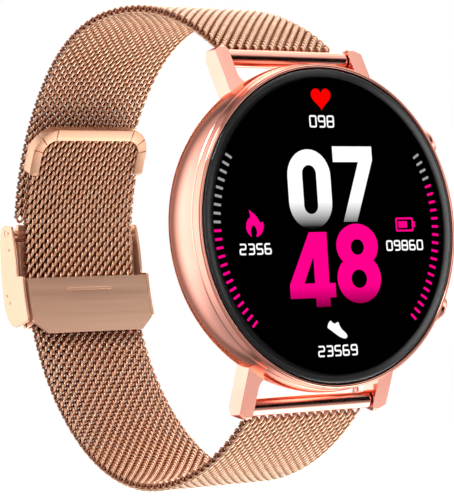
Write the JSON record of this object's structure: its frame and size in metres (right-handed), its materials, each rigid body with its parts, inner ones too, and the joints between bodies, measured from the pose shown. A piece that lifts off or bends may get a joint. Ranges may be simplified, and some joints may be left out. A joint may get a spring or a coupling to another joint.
{
  "type": "smartwatch",
  "caption": "Round smartwatch with side push buttons, angular lugs and a closed loop of woven mesh strap with a sliding fold-over clasp.",
  "frame": {"origin": "centre of the wrist opening, level with the middle of the watch face", "axes": "+X towards the two push buttons (3 o'clock), +Y from the face into the wrist, +Z towards 12 o'clock"},
  "size_m": [0.0438, 0.0667, 0.0687],
  "materials": {
    "case": "polished rose gold plated steel",
    "bezel": "polished rose gold plated steel",
    "tube": "polished rose gold plated steel",
    "clasp": "satin rose gold plated steel",
    "mesh": "woven rose gold plated steel wire",
    "glass": "polished",
    "display": "black emissive panel",
    "frame": "plain",
    "cable": "amber film",
    "battery": "foil pouch",
    "board": "solder mask",
    "chip": "moulded",
    "led": "clear green lens",
    "steel": "plain stainless steel",
    "contact": "gold plated",
    "back": "satin black",
    "window": "dark tinted lens",
    "gasket": "black silicone"
  },
  "bodies": {
    "watch_case": {"case_body": "case", "bezel_ring": "bezel", "front_glass": "glass", "glass_gasket": "gasket", "display_panel": "display", "display_frame": "frame", "display_cable": "cable", "battery": "battery", "main_board": "board", "processor_can": "steel", "wireless_chip": "chip", "vibration_motor": "steel", "sensor_board": "board", "green_led_left": "led", "green_led_right": "led", "photodiode": "chip", "back_cover": "back", "back_gasket": "gasket", "sensor_window": "window", "back_screw_1": "steel", "back_screw_2": "steel", "back_screw_3": "steel", "back_screw_4": "steel", "charging_contact_left": "contact", "charging_contact_right": "contact", "upper_button_switch": "chip", "lower_button_switch": "chip"},
    "upper_button_body": {"upper_button": "case", "upper_button_seal": "gasket", "upper_button_clip": "steel"},
    "lower_button_body": {"lower_button": "case", "lower_button_seal": "gasket", "lower_button_clip": "steel"},
    "short_strap": {"upper_strap_tube": "tube", "upper_spring_bar": "steel", "upper_bar_spring": "steel", "short_mesh_front": "mesh"},
    "upper_release": {"upper_release_pin": "steel"},
    "short_strap_back": {"short_mesh_back": "mesh", "short_strap_knuckle": "clasp", "cover_pin": "clasp"},
    "cover": {"clasp_cover": "clasp"},
    "long_strap": {"lower_strap_tube": "tube", "lower_spring_bar": "steel", "lower_bar_spring": "steel", "long_mesh_front": "mesh"},
    "lower_release": {"lower_release_pin": "steel"},
    "long_strap_back": {"long_mesh_back": "mesh", "end_trim": "clasp"},
    "clasp_slider": {"clasp_base": "clasp", "flap_pin": "clasp"},
    "flap": {"lock_flap": "clasp"}
  },
  "joints": [
    {"name": "upper_button_press", "type": "slide", "parent": "watch_case", "child": "upper_button_body", "axis": [-0.866, 0, -0.5], "range_m": [0, 0.0004], "stiffness_N_per_m": 4000},
    {"name": "lower_button_press", "type": "slide", "parent": "watch_case", "child": "lower_button_body", "axis": [-0.866, 0, 0.5], "range_m": [0, 0.0004], "stiffness_N_per_m": 4000},
    {"name": "short_strap_hinge", "type": "hinge", "parent": "watch_case", "child": "short_strap", "pos_m": [0, -0.0284, 0.0232], "axis": [1, 0, 0], "range_deg": [0, 70]},
    {"name": "long_strap_hinge", "type": "hinge", "parent": "watch_case", "child": "long_strap", "pos_m": [0, -0.0284, -0.0232], "axis": [1, 0, 0], "range_deg": [-70, 0]},
    {"name": "upper_release_slide", "type": "slide", "parent": "short_strap", "child": "upper_release", "axis": [-1, 0, 0], "range_m": [0, 0.0015], "stiffness_N_per_m": 800},
    {"name": "lower_release_slide", "type": "slide", "parent": "long_strap", "child": "lower_release", "axis": [-1, 0, 0], "range_m": [0, 0.0015], "stiffness_N_per_m": 800},
    {"name": "short_strap_flex", "type": "hinge", "parent": "short_strap", "child": "short_strap_back", "pos_m": [0, 0.00104, 0.03373], "axis": [1, 0, 0], "range_deg": [0, 35]},
    {"name": "long_strap_flex", "type": "hinge", "parent": "long_strap", "child": "long_strap_back", "pos_m": [0, -0.00468, -0.03349], "axis": [1, 0, 0], "range_deg": [0, 22]},
    {"name": "clasp_cover_hinge", "type": "hinge", "parent": "short_strap_back", "child": "cover", "pos_m": [0, 0.028, 0.00496], "axis": [1, 0, 0], "range_deg": [0, 75]},
    {"name": "clasp_slide", "type": "hinge", "parent": "long_strap_back", "child": "clasp_slider", "pos_m": [0, -0.009, -0.0005], "axis": [1, 0, 0], "range_deg": [-15, 12]},
    {"name": "lock_flap_hinge", "type": "hinge", "parent": "clasp_slider", "child": "flap", "pos_m": [0, 0.02478, -0.00263], "axis": [1, 0, 0], "range_deg": [-75, 0]}
  ],
  "couplings": [
    {"joint": "long_strap_hinge", "follows": "short_strap_hinge", "ratio": -1}
  ]
}
